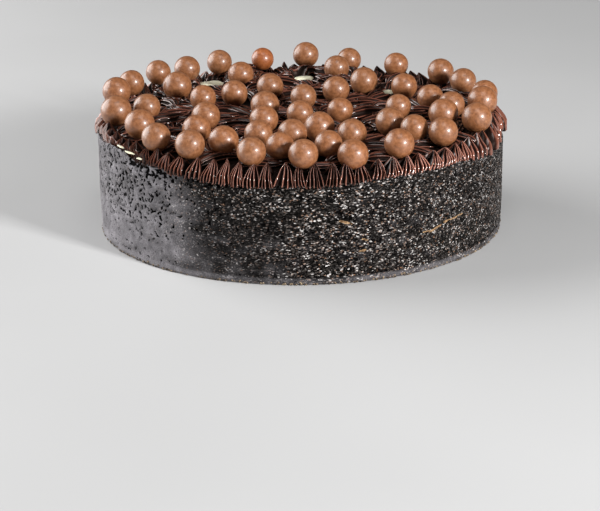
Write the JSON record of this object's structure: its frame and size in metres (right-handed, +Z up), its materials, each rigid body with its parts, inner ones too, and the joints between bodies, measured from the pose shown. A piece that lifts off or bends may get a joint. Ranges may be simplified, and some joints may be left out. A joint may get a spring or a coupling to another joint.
{
  "type": "chocolate cheesecake",
  "caption": "Round chocolate cheesecake in a dark pressed-crumb case, with a piped ganache border and strokes over the top and glossy malt balls laid on it; stands on its flat base.",
  "frame": {"origin": "middle of the flat underside of the crumb case", "axes": "+Z up through the cake; -Y towards the side that the picture shows in front; +X to that viewer's right"},
  "size_m": [0.2563, 0.2558, 0.0883],
  "materials": {
    "crumb": "dark pressed biscuit crumb, matte with fine bright specks",
    "cheesecake": "pale cream cheesecake, soft satin",
    "ganache": "dark chocolate ganache, piped, soft satin",
    "malt_ball": "milk chocolate coating, polished satin"
  },
  "bodies": {
    "root": {"crumb_case": "crumb", "cheesecake_filling": "cheesecake", "piped_ganache": "ganache", "malt_ball_01": "malt_ball", "malt_ball_02": "malt_ball", "malt_ball_03": "malt_ball", "malt_ball_04": "malt_ball", "malt_ball_05": "malt_ball", "malt_ball_06": "malt_ball", "malt_ball_07": "malt_ball", "malt_ball_08": "malt_ball", "malt_ball_09": "malt_ball", "malt_ball_10": "malt_ball", "malt_ball_11": "malt_ball", "malt_ball_12": "malt_ball", "malt_ball_13": "malt_ball", "malt_ball_14": "malt_ball", "malt_ball_15": "malt_ball", "malt_ball_16": "malt_ball", "malt_ball_17": "malt_ball", "malt_ball_18": "malt_ball", "malt_ball_19": "malt_ball", "malt_ball_20": "malt_ball", "malt_ball_21": "malt_ball", "malt_ball_22": "malt_ball", "malt_ball_23": "malt_ball", "malt_ball_24": "malt_ball", "malt_ball_25": "malt_ball", "malt_ball_26": "malt_ball", "malt_ball_27": "malt_ball", "malt_ball_28": "malt_ball", "malt_ball_29": "malt_ball", "malt_ball_30": "malt_ball", "malt_ball_31": "malt_ball", "malt_ball_32": "malt_ball", "malt_ball_33": "malt_ball", "malt_ball_34": "malt_ball", "malt_ball_35": "malt_ball", "malt_ball_36": "malt_ball", "malt_ball_37": "malt_ball", "malt_ball_38": "malt_ball", "malt_ball_39": "malt_ball", "malt_ball_40": "malt_ball", "malt_ball_41": "malt_ball", "malt_ball_42": "malt_ball", "malt_ball_43": "malt_ball", "malt_ball_44": "malt_ball", "malt_ball_45": "malt_ball", "malt_ball_46": "malt_ball", "malt_ball_47": "malt_ball", "malt_ball_48": "malt_ball", "malt_ball_49": "malt_ball", "malt_ball_50": "malt_ball", "malt_ball_51": "malt_ball", "malt_ball_52": "malt_ball", "malt_ball_53": "malt_ball"}
  },
  "joints": []
}
